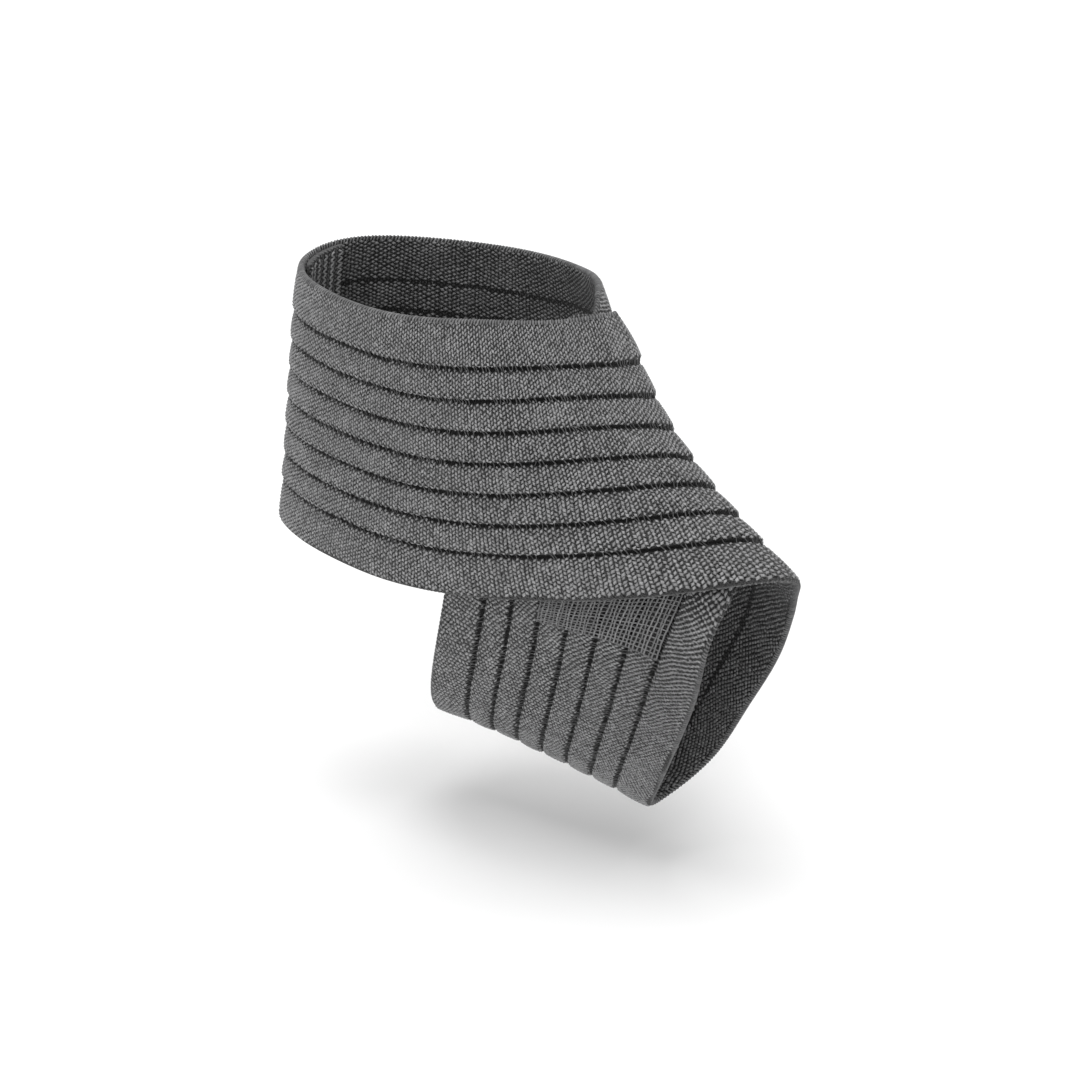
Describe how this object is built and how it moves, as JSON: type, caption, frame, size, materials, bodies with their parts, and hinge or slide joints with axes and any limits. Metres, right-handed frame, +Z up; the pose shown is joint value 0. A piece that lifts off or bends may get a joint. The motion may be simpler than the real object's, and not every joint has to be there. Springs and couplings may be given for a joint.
{
  "type": "ankle brace",
  "caption": "Ribbed elastic ankle brace: one wide band round the leg, crossing over the instep and under the foot, open at the heel and the toes.",
  "frame": {"origin": "on the leg's axis inside the leg loop, half a band below the rim: where the leg holds the brace", "axes": "+X from the heel tendon towards the toes, +Y towards the far side of the foot, +Z up along the leg"},
  "size_m": [0.1523, 0.0648, 0.1325],
  "materials": {
    "ribbed_elastic": "matt heather-grey knitted elastic with ladder grooves between the ribs",
    "lapped_elastic": "matt grey knitted elastic, sewn with zigzag thread",
    "net": "matt grey elastic net"
  },
  "bodies": {
    "root": {"elastic_band": "ribbed_elastic", "lapped_end": "lapped_elastic", "crossing_net": "net"}
  },
  "joints": []
}
